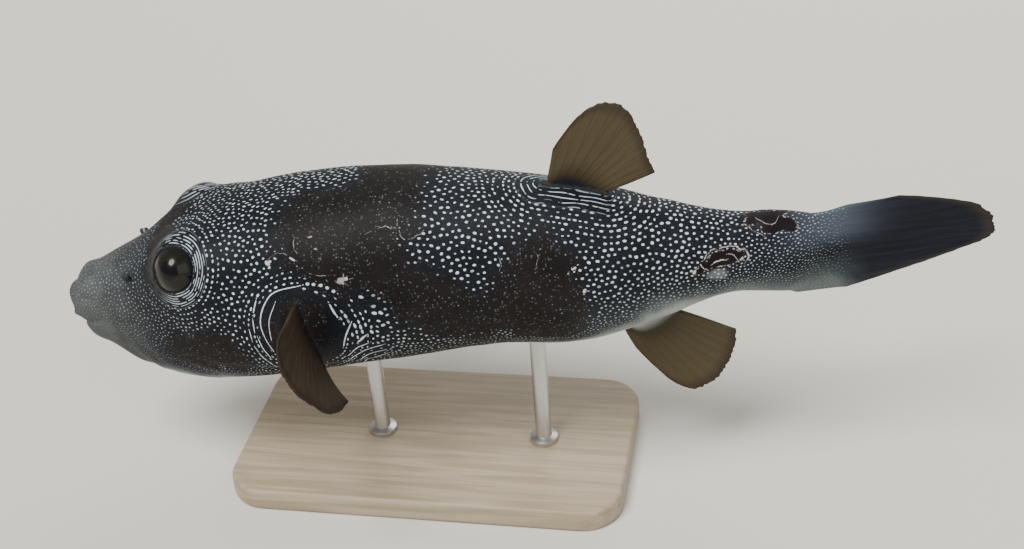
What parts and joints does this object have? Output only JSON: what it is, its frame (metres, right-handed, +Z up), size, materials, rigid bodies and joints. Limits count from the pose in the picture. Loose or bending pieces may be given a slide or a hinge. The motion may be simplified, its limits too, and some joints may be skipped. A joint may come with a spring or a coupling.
{
  "type": "white-spotted pufferfish model",
  "caption": "Life-size white-spotted pufferfish, swimming with its side fins out and its tail bent, held level over a flat display base by short rods.",
  "frame": {"origin": "on the floor under the centre of the whole model's box, at the underside of the stand's base", "axes": "+X towards the tail, -X towards the snout, +Y to the fish's right side, +Z up"},
  "size_m": [0.4466, 0.1914, 0.2015],
  "materials": {
    "skin": "moist satin skin, near black with pale spots, paler below",
    "fin": "thin olive-brown fin membrane over soft rays",
    "tail_fin": "charcoal fin membrane, partly folded",
    "eye": "clear wet gloss over a dark iris",
    "beak": "smooth ivory tooth plate",
    "stand_base": "pale ash, thin matte lacquer",
    "stand_rod": "fine brushed"
  },
  "bodies": {
    "root": {"head": "skin", "trunk": "skin", "tail_stem": "skin", "nostril_flap_left": "skin", "nostril_flap_right": "skin", "dorsal_fin": "fin", "anal_fin": "fin", "pectoral_fin_left": "fin", "pectoral_fin_right": "fin", "tail_fin": "tail_fin", "eye_left": "eye", "eye_right": "eye", "beak_upper": "beak", "beak_lower": "beak", "stand_base": "stand_base", "stand_rod_1": "stand_rod", "stand_rod_2": "stand_rod"}
  },
  "joints": []
}
